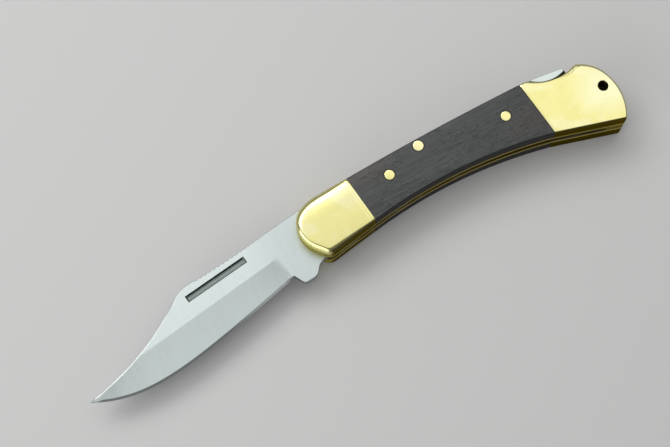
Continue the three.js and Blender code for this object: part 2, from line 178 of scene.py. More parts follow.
def nearest(places, line):
    """Distance from each place to a line, and where on the line that is, in points and parts of them."""
    start, way = line[:-1], np.diff(line, axis=0)
    square = (way**2).sum(1) + 1e-12
    gaps, spots = [], []
    for part in np.array_split(places, max(1, len(places) // 1500)):
        offset = part[:, None] - start
        share = np.clip((offset * way).sum(2) / square, 0, 1)
        gap = np.linalg.norm(offset - share[..., None] * way, axis=2)
        best = gap.argmin(1)
        rows = np.arange(len(part))
        gaps.append(gap[rows, best])
        spots.append(best + share[rows, best])
    return np.concatenate(gaps), np.concatenate(spots)


# Edges of the plan and how they are rolled over


@dataclass
class Edge:
    """A stretch of outline with its roll: how far it reaches in, how much it drops and how round it is.

    A thin line with a depth of its own may mark the roll's inner end. Each pair holds the values at the
    stretch's start and end.
    """

    line: np.ndarray
    reach: tuple
    drop: tuple
    power: tuple = (2, 2)
    line_depth: tuple = (0, 0)

    def spread(self, values):
        """A pair's values, one for each point of the stretch."""
        return np.linspace(values[0], values[1], len(self.line))


def fall(places, edges):
    """How far the face lies below its land, at each place, because of these edges."""
    line = np.concatenate([edge.line for edge in edges])
    gap, spot = nearest(places, line)
    index = np.arange(len(line))
    reach, drop, power, line_depth = (
        np.interp(spot, index, np.concatenate([edge.spread(getattr(edge, word)) for edge in edges]))
        for word in ("reach", "drop", "power", "line_depth")
    )
    inward = np.clip(1 - gap / reach, 0, 1)
    roll = drop * (1 - (1 - inward**power) ** (1 / power))
    return roll + line_depth * np.exp(-(((gap - reach) / LINE_WIDTH) ** 2))


chin_front = polar(CHIN, CHIN_ROUND, CHIN_LEAN)
chin_way = np.array(FRONT_BELLY) - CHIN
chin_rear = np.array(CHIN) + CHIN_ROUND * chin_way / np.linalg.norm(chin_way)
belly_scale_line = bow(FRONT_BELLY, REAR_BELLY, -BELLY_ARCH, 120)
belly_line = np.concatenate([[CHIN], belly_scale_line, [BUTT_CORNER]])
back_rear_line = bow(BUTT_SHOULDER, REAR_BACK, BACK_CROWN, 60)
back_scale_line = bow(REAR_BACK, FRONT_BACK, BACK_CROWN, 120)
back_line = np.concatenate([back_rear_line, back_scale_line, [NOSE_TOP]])[::-1]

chin_edge = Edge(
    bezier(chin_front, CHIN, chin_rear, count=14),
    (1.7, 1.8),
    (1.9, 1.4),
    (1.4, 2),
    (0.035, 0),
)
front_belly_edge = Edge(np.linspace(chin_rear, FRONT_BELLY, 36), (1.8, 0.7), (1.4, 0.7))
scale_belly_edge = Edge(belly_scale_line, (0.5, 0.4), (0.5, 0.4))
rear_belly_edge = Edge(np.linspace(REAR_BELLY, BUTT_CORNER, 60), (0.4, 0.4), (0.4, 0.4))
butt_bend = (moved(BUTT_CORNER, 5.4, 7.1), moved(BUTT_SHOULDER, 8.9, -3.8))
butt_edge = Edge(
    bezier(BUTT_CORNER, *butt_bend, BUTT_SHOULDER, count=80),
    (0.5, 1.4),
    (0.5, 1.0),
)
rear_back_edge = Edge(back_rear_line, (1.4, 0.8), (1.0, 0.7))
scale_back_edge = Edge(back_scale_line, (0.8, 1.0), (0.7, 0.8))
front_back_edge = Edge(np.linspace(FRONT_BACK, NOSE_TOP, 24), (1.0, 2.5), (0.8, 1.3))
upper_nose_edge = Edge(
    bezier(NOSE_TOP, moved(NOSE_TOP, -7.4, 0), moved(NOSE_FRONT, 0, 6.4), NOSE_FRONT, count=48),
    (2.5, 1.7),
    (1.3, 1.2),
    (2, 1.5),
    (0, 0.02),
)
lower_nose_edge = Edge(
    bezier(NOSE_FRONT, moved(NOSE_FRONT, 0, -3.8), polar(CHIN, CHIN_ARM, CHIN_LEAN), chin_front, count=28),
    (1.7, 1.7),
    (1.2, 1.9),
    (1.5, 1.4),
    (0.02, 0.035),
)
handle_edges = [
    chin_edge, front_belly_edge, scale_belly_edge, rear_belly_edge, butt_edge,
    rear_back_edge, scale_back_edge, front_back_edge, upper_nose_edge, lower_nose_edge,
]


def face_height(places, *groups):
    """Height of the left face: its land, less the crown, the handle's rolled edges and a piece's own."""
    back = np.interp(places[:, 0], back_line[:, 0], back_line[:, 1])
    belly = np.interp(places[:, 0], belly_line[:, 0], belly_line[:, 1])
    across = np.abs(places[:, 1] - (back + belly) / 2)
    land = np.interp(places[:, 0], CROWN_X, LAND_WIDTH)
    crown = np.interp(places[:, 0], CROWN_X, CROWN_DROP)
    crown *= np.clip((across - land) / ((back - belly) / 2 - land), 0, 1) ** 2
    rolls = sum(fall(places, group) for group in (handle_edges, *groups))
    return THICKNESS - crown - rolls


# Meshes


def skin(rows):
    """Four-sided faces between closed rows of one count, each row a run of vertex numbers."""
    return [
        (a, b, d, c)
        for lower, upper in zip(rows, rows[1:])
        for a, b, c, d in zip(lower, np.roll(lower, -1), upper, np.roll(upper, -1))
    ]


def shape(name, places, faces, materials, finish_of=None, crease=PLATE_CREASE):
    """An object made of points in millimetres and faces; edges past the crease angle are sharp."""
    mesh = bpy.data.meshes.new(name)
    corners = [tuple(place * MM) for place in np.asarray(places, float)]
    mesh.from_pydata(corners, [], [tuple(map(int, face)) for face in faces])
    for material in materials:
        mesh.materials.append(material)
    if finish_of is not None:
        mesh.polygons.foreach_set("material_index", finish_of)
    piece = bpy.data.objects.new(name, mesh)
    bpy.context.scene.collection.objects.link(piece)
    settle(mesh, crease)
    return piece


def settle(mesh, crease):
    """Merges doubles, shades smoothly with sharp edges, and notes how each corner leans."""
    work = bmesh.new()
    work.from_mesh(mesh)
    bmesh.ops.remove_doubles(work, verts=work.verts, dist=MERGE_GAP)
    bmesh.ops.dissolve_degenerate(work, edges=work.edges, dist=MERGE_GAP / 2)
    work.to_mesh(mesh)
    work.free()
    mesh.polygons.foreach_set("use_smooth", [True] * len(mesh.polygons))
    mesh.set_sharp_from_angle(angle=math.radians(crease))
    normals = np.empty(3 * len(mesh.loops))
    mesh.corner_normals.foreach_get("vector", normals)
    for word, values in (("steep", 1 - np.abs(normals[2::3])), ("belly", np.maximum(-normals[1::3], 0))):
        lean = mesh.attributes.get(word) or mesh.attributes.new(word, "FLOAT", "CORNER")
        lean.data.foreach_set("value", values)


def mirrored(name, piece):
    """The same piece for the other side of the handle."""
    mesh = piece.data.copy()
    mesh.name = name
    mesh.transform(Matrix.Translation((0, 0, THICKNESS * MM)) @ Matrix.Diagonal((1, 1, -1, 1)))
    mesh.flip_normals()
    twin = bpy.data.objects.new(name, mesh)
    bpy.context.scene.collection.objects.link(twin)
    return twin


def flatten(piece):
    """Works the piece's modifiers into a plain mesh."""
    graph = bpy.context.evaluated_depsgraph_get()
    mesh = bpy.data.meshes.new_from_object(piece.evaluated_get(graph))
    mesh.name = piece.name
    piece.modifiers.clear()
    piece.data = mesh


def cut(piece, *cutters, crease=PLATE_CREASE):
    """Cuts the cutters' shapes out of the piece."""
    for cutter in cutters:
        modifier = piece.modifiers.new("cut", "BOOLEAN")
        modifier.operation = "DIFFERENCE"
        modifier.solver = "EXACT"
        modifier.object = cutter
    flatten(piece)
    for cutter in cutters:
        bpy.data.objects.remove(cutter)
    settle(piece.data, crease)


def drill(centre, radius, floor, ceiling, material, count=64):
    """A round cutter that leaves its material on the walls of the hole."""
    ring = polar(centre, radius, np.arange(count) * 360 / count)
    places = np.concatenate([np.c_[ring, np.full(count, z)] for z in (floor, ceiling)])
    rows = [np.arange(count), np.arange(count) + count]
    faces = [*skin(rows), rows[0][::-1], rows[1]]
    return shape("drill", places, faces, [material])


def mitre(before, corner, after, reach_in, reach_out):
    """Where a corner goes when the two sides that meet there move in by their reaches."""
    normals = []
    for way in (corner - before, after - corner):
        way = way / np.linalg.norm(way)
        normals.append([-way[1], way[0]])
    if abs(np.linalg.det(normals)) < 0.1:
        return corner + np.mean(normals, axis=0) * (reach_in + reach_out) / 2
    return corner + np.linalg.solve(normals, [reach_in, reach_out])


def inset(edges, share):
    """The closed outline of these edges, moved in by a share of each one's own reach.

    Where a short edge would turn round, its two corners meet in one point.
    """
    corners = []
    for before, edge in zip([edges[-1], *edges], edges):
        reaches = (before.reach[1] * share, edge.reach[0] * share)
        corners.append(mitre(before.line[-2], edge.line[0], edge.line[1], *reaches))
    for i, edge in enumerate(edges):
        ahead = (i + 1) % len(edges)
        if np.dot(corners[ahead] - corners[i], edge.line[-1] - edge.line[0]) < 0:
            corners[i] = corners[ahead] = (corners[i] + corners[ahead]) / 2
    parts = []
    for i, edge in enumerate(edges):
        way = np.gradient(edge.line, axis=0)
        way /= np.linalg.norm(way, axis=1)[:, None]
        line = edge.line + share * edge.spread(edge.reach)[:, None] * np.c_[-way[:, 1], way[:, 0]]
        run = np.r_[0, np.cumsum(np.linalg.norm(np.diff(edge.line, axis=0), axis=1))]
        start = np.clip(1 - 2 * run / run[-1], 0, 1)[:, None]
        end = start[::-1] if len(start) < 3 else np.clip(2 * run / run[-1] - 1, 0, 1)[:, None]
        first, last = corners[i], corners[(i + 1) % len(edges)]
        line = line + start * (first - line[0]) + end * (last - line[-1])
        if np.allclose(first, last):
            line[:] = first
        parts.append(line[:-1])
    return np.concatenate(parts)


ROLL_SHARES = np.r_[1 - np.cos(np.radians(np.arange(0, 90, 10))), 0.9, 0.95, 1]
LINE_SHARES = (0.012, 0.03, 0.055)
JOINT_END = 0.16


def joint_edge(top, bottom, reach, drop, *line_depths):
    """The straight joint between metal and wood, finely divided where the rolled edges cross it."""
    ends = JOINT_END * ROLL_SHARES
    shares = np.r_[ends, np.linspace(JOINT_END, 1 - JOINT_END, 16)[1:-1], 1 - ends[::-1]]
    line = np.array(top) + shares[:, None] * (np.array(bottom) - top)
    return Edge(line, (reach, reach), (drop, drop), (1.5, 1.5), line_depths)


def plate(name, edges, own, heart, material, hole=None):
    """A side piece of the handle: walls, rolled edges and a crowned face round a heart or a hole."""
    rings = [inset(edges, share) for share in ROLL_SHARES]
    count = len(rings[0])
    groups = list(own)
    if hole is None:
        inner = np.tile(np.array(heart, float), (count, 1))
        shares = (*LINE_SHARES, *np.linspace(0, 1, 15)[1:-1])
    else:
        centre, radius, ease = hole
        aim = rings[-1] - centre
        angles = np.unwrap(np.degrees(np.arctan2(aim[:, 1], aim[:, 0])), period=360)
        even = np.arange(count) * 360 / count
        angles = 0.7 * angles + 0.3 * (even + (angles - even).mean())
        inner = polar(centre, radius + ease, angles)
        rim = Edge(polar(centre, radius, np.linspace(0, 360, 181)), (ease, ease), (ease, ease))
        groups.append([rim])
        shares = (*LINE_SHARES, *np.linspace(0, 1, 13)[1:])
    outer = rings[-1]
    rings += [outer + share * (inner - outer) for share in shares]
    if hole is not None:
        rings += [polar(centre, radius + ease * (1 - share), angles) for share in (*ROLL_SHARES[1:-2], 1)]
    flat = np.concatenate(rings)
    places = np.c_[flat, face_height(flat, *groups)]
    floor_ring = np.c_[rings[0], np.full(count, SIDE_FLOOR)]
    rows = [np.arange(count) + i * count for i in range(len(rings))]
    places = np.concatenate([places, floor_ring])
    floor_row = np.arange(count) + len(rings) * count
    faces = skin([floor_row, *rows])
    if hole is None:
        places = np.concatenate([places, np.c_[[heart], face_height(np.array([heart], float), *groups)]])
        last = rows[-1]
        faces += [(a, b, len(places) - 1) for a, b in zip(last, np.roll(last, -1))]
        faces.append(floor_row[::-1])
    else:
        places = np.concatenate([places, np.c_[rings[-1], np.full(count, SIDE_FLOOR)]])
        bottom_row = floor_row + count
        faces += skin([rows[-1], bottom_row, floor_row])
    return shape(name, places, faces, [material])


def strip(name, belly, back, shares, own, material):
    """The wood scale: sections from the belly to the back, set side by side along it."""
    sections = []
    for share in shares:
        low = np.array([np.interp(share, np.linspace(0, 1, len(belly)), belly[:, k]) for k in (0, 1)])
        high = np.array([np.interp(share, np.linspace(0, 1, len(back)), back[:, k]) for k in (0, 1)])
        span = np.linalg.norm(high - low)
        low_roll = (scale_belly_edge.reach[0] * (1 - share) + scale_belly_edge.reach[1] * share) / span
        high_roll = (scale_back_edge.reach[1] * (1 - share) + scale_back_edge.reach[0] * share) / span
        middle = np.linspace(low_roll, 1 - high_roll, 26)[1:-1]
        across = np.r_[low_roll * ROLL_SHARES, middle, 1 - high_roll * ROLL_SHARES[::-1]]
        sections.append(low + across[:, None] * (high - low))
    flat = np.concatenate(sections)
    count = len(sections[0])
    heights = face_height(flat, *own)
    places, rows = [], []
    for i, section in enumerate(sections):
        top = np.c_[section, heights[i * count : (i + 1) * count]]
        ends = [[*section[-1], SIDE_FLOOR], [*section[0], SIDE_FLOOR]]
        rows.append(np.arange(count + 2) + len(places) * (count + 2))
        places.append(np.concatenate([top, ends]))
    faces = skin(rows)
    faces += [rows[0], rows[-1][::-1]]
    return shape(name, np.concatenate(places), [tuple(f)[::-1] for f in faces], [material])


# Shader nodes


class Wire:
    """A socket of a material; arithmetic on it adds Math nodes."""

    def __init__(self, tree, socket):
        self.tree, self.socket = tree, socket

    def math(self, operation, *values):
        return self.tree.add("ShaderNodeMath", *values, operation=operation)

    def __add__(self, other):
        return self.math("ADD", self, other)

    def __sub__(self, other):
        return self.math("SUBTRACT", self, other)

    def __rsub__(self, other):
        return self.math("SUBTRACT", other, self)

    def __mul__(self, other):
        return self.math("MULTIPLY", self, other)

    __radd__, __rmul__ = __add__, __mul__

    def step(self, low, high):
        """0 at low and beyond, 1 at high and beyond, smooth between."""
        return self.tree.add("ShaderNodeMapRange", self, low, high, 0.0, 1.0, interpolation_type="SMOOTHSTEP")


class Finish:
    """A material whose nodes are written as expressions."""

    def __init__(self, name):
        self.material = bpy.data.materials.new(name)
        self.material.use_nodes = True
        self.nodes = self.material.node_tree.nodes
        self.links = self.material.node_tree.links
        self.shader = self.nodes["Principled BSDF"]

    def join(self, value, socket):
        """Links a wire to a socket, or sets the socket's own value."""
        if isinstance(value, Wire):
            self.links.new(value.socket, socket)
        else:
            socket.default_value = value

    def add(self, kind, *values, output=0, sockets=None, **settings):
        """A node of this kind: its settings, then what its sockets take, in order or by name."""
        node = self.nodes.new(kind)
        for word, value in settings.items():
            setattr(node, word, value)
        for value, socket in zip(values, node.inputs):
            self.join(value, socket)
        for word, value in (sockets or {}).items():
            self.join(value, node.inputs[word])
        return Wire(self, node.outputs[output])

    def place(self):
        """Where the point is, in the object's own coordinates."""
        return self.add("ShaderNodeTexCoord", output=3)

    def lean(self, word):
        """How steep the surface is, or how far it turns to the belly: 0 on a flat face, 1 on a wall."""
        return self.add("ShaderNodeAttribute", output=2, attribute_name=word)

    def away(self, place, centre):
        """How far a place is from a pin's or hole's centre, along the flat of the handle."""
        flat = self.add("ShaderNodeVectorMath", place, (1, 1, 0), operation="MULTIPLY")
        middle = (centre[0] * MM, centre[1] * MM, 0)
        return self.add("ShaderNodeVectorMath", flat, middle, operation="DISTANCE", output=1)

    def part(self, place, axis):
        """One number of a place: 0 for x, 1 for y, 2 for z."""
        return self.add("ShaderNodeSeparateXYZ", place, output=axis)

    def stretched(self, place, size, turn=0.0, shift=(0, 0, 0)):
        """Coordinates whose unit is the given size in millimetres along each direction."""
        scale = tuple(1 / (each * MM) for each in size)
        turned = self.add("ShaderNodeVectorRotate", place, (0, 0, 0), (0, 0, 1), math.radians(turn))
        return self.add("ShaderNodeMapping", turned, tuple(shift), (0, 0, 0), scale)

    def noise(self, place, detail=2.0, rough=0.5, bend=0.0):
        """Cloudy noise from about 0 to 1."""
        sockets = {"Scale": 1.0, "Detail": detail, "Roughness": rough, "Distortion": bend}
        return self.add("ShaderNodeTexNoise", place, sockets=sockets)

    def mix(self, share, low, high):
        """A colour between two, by a share."""
        node = self.nodes.new("ShaderNodeMix")
        node.data_type = "RGBA"
        low = (*low, 1) if isinstance(low, tuple) else low
        high = (*high, 1) if isinstance(high, tuple) else high
        for value, socket in zip((share, low, high), (node.inputs[0], node.inputs[6], node.inputs[7])):
            self.join(value, socket)
        return Wire(self, node.outputs[2])

    def bump(self, height, depth):
        """A surface normal tilted by a height that runs from 0 to 1, given its depth in millimetres."""
        return self.add("ShaderNodeBump", sockets={"Strength": 1.0, "Distance": depth * MM, "Height": height})

    def set(self, **values):
        """The finished material, with these values and wires on its shader."""
        for word, value in values.items():
            socket = self.shader.inputs[word.replace("_", " ")]
            self.join((*value, 1) if isinstance(value, tuple) and len(value) == 3 else value, socket)
        return self.material


def polished_brass(name, light, deep, gloss, across, wall_colour=(0.11, 0.09, 0.03), edges=0.25, nose=False):
    """Buffed brass: polishing lines, clouds and scratches, and a wall colour, on the bolsters a painted
    shade.

    On the bolsters the walls' painted shade stops short of the nose, and a painted highlight pales the brass
    round the hole.
    """
    own = Finish(name)
    place = own.place()
    lines = own.noise(own.stretched(place, across), 3.0, 0.6)
    streaks = own.noise(own.stretched(place, tuple(5 * each for each in across)), 2.0, 0.5)
    clouds = own.noise(own.stretched(place, (5, 7, 6)), 2.0, 0.5, 0.6)
    small = own.noise(own.stretched(place, (1.2, 1.8, 1.5)), 3.0, 0.6)
    marks = own.noise(own.stretched(place, (0.06, 5, 3), 35), 1.0, 0.5).step(0.70, 0.76)
    marks += own.noise(own.stretched(place, (4, 0.05, 3), -20), 1.0, 0.5).step(0.71, 0.77)
    patches = own.noise(own.stretched(place, (13, 9, 9), 20), 1.0, 0.5, 0.8).step(0.45, 0.62)
    tone = own.mix(clouds.step(0.3, 0.75) * 0.3 + lines * 0.2 + streaks * 0.35, light, deep)
    tone = own.mix(patches * 0.35, tone, tuple(0.6 * each + 0.4 for each in light))
    # Painted shade: walls turned to the belly, and steep walls by the edges' share, take the wall colour.
    wall = (own.lean("belly") + 0.12 * small + 0.1 * streaks - 0.11).step(0.15, 0.8)
    wall = own.add("ShaderNodeClamp", wall + edges * own.lean("steep").step(0.15, 0.5))
    if nose:
        # The painted shade on the walls stops short of the nose.
        wall *= own.part(place, 0).step(-5.6 * MM, -3.6 * MM)
        # Painted highlight: the brass round the hole is mixed towards pale.
        tone = own.mix(0.6 - 0.6 * own.away(place, HOLE).step(3 * MM, 13 * MM), tone, (0.92, 0.90, 0.60))
    return own.set(
        Base_Color=own.mix(wall, tone, wall_colour),
        Metallic=1.0,
        Specular_Tint=(0.55, 0.48, 0.22),
        Roughness=gloss + 0.07 * lines + 0.05 * clouds.step(0.4, 0.7) + 0.1 * marks + 0.12 * wall,
        Normal=own.bump(lines * 0.3 + streaks + small * 0.4 + clouds * 3.0 - marks * 0.3, 0.004),
    )


def satin_steel(name, light, deep, gloss, across, shadow_edge=None, shaded=None):
    """Ground stainless steel: fine lines one way, with bands and soft clouds.

    Steep faces carry a painted shade, a painted shadow lies beyond a round, and a painted shade darkens it by
    a share from one x to another.
    """
    own = Finish(name)
    place = own.place()
    dark = tuple(0.35 * each for each in deep)
    lines = own.noise(own.stretched(place, across), 4.0, 0.65)
    bands = own.noise(own.stretched(place, tuple(6 * min(each, 1.5) for each in across)), 2.0, 0.5)
    clouds = own.noise(own.stretched(place, (1.6, 9, 5), 4), 2.0, 0.5, 0.3)
    tone = own.mix(lines * 0.4 + bands * 0.15 + clouds.step(0.25, 0.75) * 0.2 + 0.12, light, deep)
    # Painted shade: steep faces, such as bevels and walls, are darker.
    tone = own.mix(own.lean("steep").step(0.15, 0.6) * 0.6, tone, dark)
    rough = gloss + 0.1 * lines + 0.05 * clouds
    # Painted shade: the steel grows darker by a share between two x, near the bolster on the blade and
    # towards the tip on the honed edge.
    if shaded:
        start, end, share = shaded
        tone = own.mix(own.part(place, 0).step(start * MM, end * MM) * share, tone, dark)
    # Painted shadow: beyond the round the bar turns near black, where the bolster's notch edge shades it.
    if shadow_edge:
        centre, radius = shadow_edge
        beyond = own.away(place, centre).step((radius - 0.12) * MM, (radius + 0.12) * MM)
        painted_shadow = beyond * (1 - own.lean("steep"))
        tone = own.mix(painted_shadow * 0.98, tone, (0.012, 0.013, 0.008))
        rough += 0.25 * painted_shadow
    return own.set(
        Base_Color=tone,
        Metallic=1.0,
        Roughness=rough,
        Normal=own.bump(lines * 0.5 + bands * 0.15, 0.004),
    )


def dark_wood():
    """Near-black wood: long streaks, darker veins, short open pores, and painted shade round the pins and on
    its walls.
    """
    own = Finish("dark wood")
    place = own.place()
    wander = own.noise(own.stretched(place, (22, 9, 9)), 1.0, 0.5)
    wall = own.lean("belly").step(0.3, 0.8) + 0.5 * own.lean("steep").step(0.3, 0.8)
    wall = own.add("ShaderNodeClamp", wall)
    streak = own.noise(own.stretched(place, (11, 0.42, 0.5), 2), 5.0, 0.62, 0.35)
    vein = own.noise(own.stretched(place, (26, 1.9, 2.2), 2, (3, 1, 0)), 3.0, 0.55, 0.5).step(0.5, 0.66)
    pores = own.noise(own.stretched(place, (1.5, 0.12, 0.14), 3), 2.0, 0.55).step(0.58, 0.65)
    long_pores = own.noise(own.stretched(place, (3.0, 0.3, 0.34), 1, (7, 2, 4)), 1.0, 0.5).step(0.63, 0.70)
    crowd = own.noise(own.stretched(place, (16, 6, 6), 0, (2, 5, 0)), 1.0, 0.5).step(0.38, 0.62)
    pits = own.add("ShaderNodeClamp", (pores * 0.85 + long_pores) * (0.3 + 0.7 * crowd))
    # Painted shade: dark rings round the pins, just beyond their holes.
    rings = 0.0
    for centre, radius in PINS_IN_WOOD:
        rings += 1 - own.away(place, centre).step((radius + 0.2) * MM, (radius + 0.6) * MM)
    body = own.mix(streak.step(0.25, 0.75), (0.038, 0.041, 0.040), (0.075, 0.082, 0.079))
    body = own.mix(vein * 0.4, body, (0.032, 0.030, 0.027))
    body = own.mix(wander.step(0.42, 0.68) * 0.5, body, (0.080, 0.062, 0.053))
    body = own.mix(own.part(place, 0).step(42 * MM, 72 * MM) * 0.22, body, (0.020, 0.021, 0.020))
    # Painted shade: walls turned to the belly, and steep walls by half, go near black.
    body = own.mix(wall * 0.9, body, (0.004, 0.0035, 0.003))
    body = own.mix(rings * 0.75, body, (0.008, 0.007, 0.006))
    return own.set(
        Base_Color=own.mix(pits * 0.85, body, (0.006, 0.005, 0.004)),
        Specular_IOR_Level=0.45,
        Roughness=0.40 + 0.1 * streak + 0.2 * pits + 0.3 * wall,
        Normal=own.bump(streak * 0.3 - pits * 0.8, 0.03),
        Coat_Weight=0.12 - 0.12 * wall,
        Coat_Roughness=0.3,
    )


bolster_brass = polished_brass(
    "bolster brass", (0.87, 0.82, 0.37), (0.80, 0.73, 0.27), 0.16, (0.10, 6, 6), nose=True
)
pin_brass = polished_brass("pin brass", (0.90, 0.84, 0.39), (0.82, 0.74, 0.29), 0.18, (0.12, 0.6, 3))
SHEET_LINES = (0.5, 5, 0.12)
# Painted shade: the liners' faces are dark brass, and only their walls take the bright wall colour.
liner_brass = polished_brass(
    "liner brass", (0.28, 0.225, 0.08), (0.20, 0.16, 0.055), 0.38, SHEET_LINES, (0.62, 0.52, 0.17), 1.0
)
# Painted shade: the rear spacer is dark brass all over, faces and walls.
spacer_brass = polished_brass(
    "spacer brass", (0.10, 0.075, 0.03), (0.06, 0.045, 0.02), 0.38, SHEET_LINES, (0.22, 0.18, 0.06), 1.0
)
blade_steel = satin_steel(
    "blade steel", (0.63, 0.695, 0.68), (0.525, 0.58, 0.57), 0.29, (0.07, 5, 5), shaded=(-30, -14, 0.17)
)
honed_steel = satin_steel(
    "honed edge steel",
    (0.86, 0.91, 0.89),
    (0.72, 0.77, 0.75),
    0.24,
    (0.09, 1.2, 0.5),
    shaded=(-28, -45, 0.75),
)
# Painted shade: the nail groove's steel is much darker than the blade's, standing in for the shade in the
# recess.
shaded_groove_steel = satin_steel("shaded groove steel", (0.165, 0.19, 0.18), (0.10, 0.115, 0.108), 0.28, (4, 0.12, 0.12))
bar_steel = satin_steel(
    "bar steel", (0.70, 0.77, 0.72), (0.60, 0.66, 0.62), 0.26, (6, 0.08, 0.08), shadow_edge=SHADOW_EDGE_ROUND
)
spring_steel = satin_steel("spring steel", (0.42, 0.43, 0.44), (0.28, 0.285, 0.29), 0.34, (5, 0.09, 0.09))
BLADE_FINISHES = (blade_steel, honed_steel, shaded_groove_steel)
wood = dark_wood()


# Handle sides

front_joint_up = joint_edge(
    moved(FRONT_BELLY, -JOINT_GAP, 0), moved(FRONT_BACK, -JOINT_GAP, 0), 1.1, 0.12, 0.035, 0.035
)
front_edges = [chin_edge, front_belly_edge, front_joint_up, front_back_edge, upper_nose_edge, lower_nose_edge]
left_front = plate("front_bolster_left", front_edges, [[front_joint_up]], (2.6, 2.8), bolster_brass)

in_notch = np.linalg.norm(back_rear_line - NOTCH, axis=1) < NOTCH_RADIUS
first, last = np.flatnonzero(in_notch)[[0, -1]]


def notch_mouth(outer, inner):
    """Where the back line crosses the notch's circle, between a point of its outside and one inside."""
    low, high = 0.0, 1.0
    for _ in range(40):
        share = (low + high) / 2
        place = outer + share * (inner - outer)
        low, high = (low, share) if np.linalg.norm(place - NOTCH) < NOTCH_RADIUS else (share, high)
    return place


mouth_rear = notch_mouth(back_rear_line[first - 1], back_rear_line[first])
mouth_front = notch_mouth(back_rear_line[last + 1], back_rear_line[last])
angle_rear, angle_front = (
    math.degrees(math.atan2(mouth[1] - NOTCH[1], mouth[0] - NOTCH[0])) for mouth in (mouth_rear, mouth_front)
)
angle_deep = (angle_rear + angle_front) / 2
notch_rear_edge = Edge(
    polar(NOTCH, NOTCH_RADIUS, np.linspace(angle_rear, angle_deep, 36)),
    (1.3, 0.4),
    (1.1, 0.35),
    (1.6, 2),
    (0.16, 0.04),
)
notch_front_edge = Edge(
    polar(NOTCH, NOTCH_RADIUS, np.linspace(angle_deep, angle_front, 30)),
    (0.4, 1.0),
    (0.35, 0.45),
    (2, 1.5),
)
front_of_notch_edge = Edge(
    np.concatenate([[mouth_front], back_rear_line[last + 1 :]]),
    (0.7, 1.9),
    (0.6, 0.7),
    (2, 2),
    (0.06, 0.08),
)
rear_joint_down = joint_edge(
    moved(REAR_BACK, JOINT_GAP, 0), moved(REAR_BELLY, JOINT_GAP, 0), 1.3, 0.12, 0.05, 0.0
)
rear_edges = [
    rear_belly_edge,
    butt_edge,
    Edge(np.concatenate([back_rear_line[:first], [mouth_rear]]), (1.4, 1.2), (1.0, 0.9)),
    notch_rear_edge,
    notch_front_edge,
    front_of_notch_edge,
    rear_joint_down,
]
left_rear = plate(
    "rear_bolster_left",
    rear_edges,
    [[notch_rear_edge, notch_front_edge], [rear_joint_down]],
    None,
    bolster_brass,
    (HOLE, HOLE_RADIUS, 0.3),
)

scale_front = Edge(
    np.array([moved(FRONT_BELLY, JOINT_GAP, 0), moved(FRONT_BACK, JOINT_GAP, 0)]),
    (0.3, 0.3),
    (0.2, 0.2),
)
scale_rear = Edge(
    np.array([moved(REAR_BACK, -JOINT_GAP, 0), moved(REAR_BELLY, -JOINT_GAP, 0)]),
    (0.4, 0.4),
    (0.3, 0.3),
)
scale_end = np.array([0.0002, 0.0008, 0.0018, 0.0034])
scale_shares = np.r_[scale_end, np.linspace(0.006, 0.994, 150), 1 - scale_end[::-1]]
left_scale = strip(
    "scale_left",
    scale_belly_edge.line,
    back_scale_line[::-1],
    scale_shares,
    [[scale_front], [scale_rear]],
    wood,
)
cut(
    left_scale,
    *(
        drill(centre, radius + PIN_GAP, SIDE_FLOOR - 1, THICKNESS + 1, wood)
        for centre, radius in PINS_IN_WOOD
    ),
)
for side in ("left", "right"):
    for stem, piece, slot in (
        ("front_bolster", left_front, "brass"),
        ("scale", left_scale, "wood"),
        ("rear_bolster", left_rear, "brass"),
    ):
        if side == "right":
            piece = mirrored(f"{stem}_right", piece)
        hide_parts(f"{side}_{stem}")
        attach(piece, "handle")


# Blade


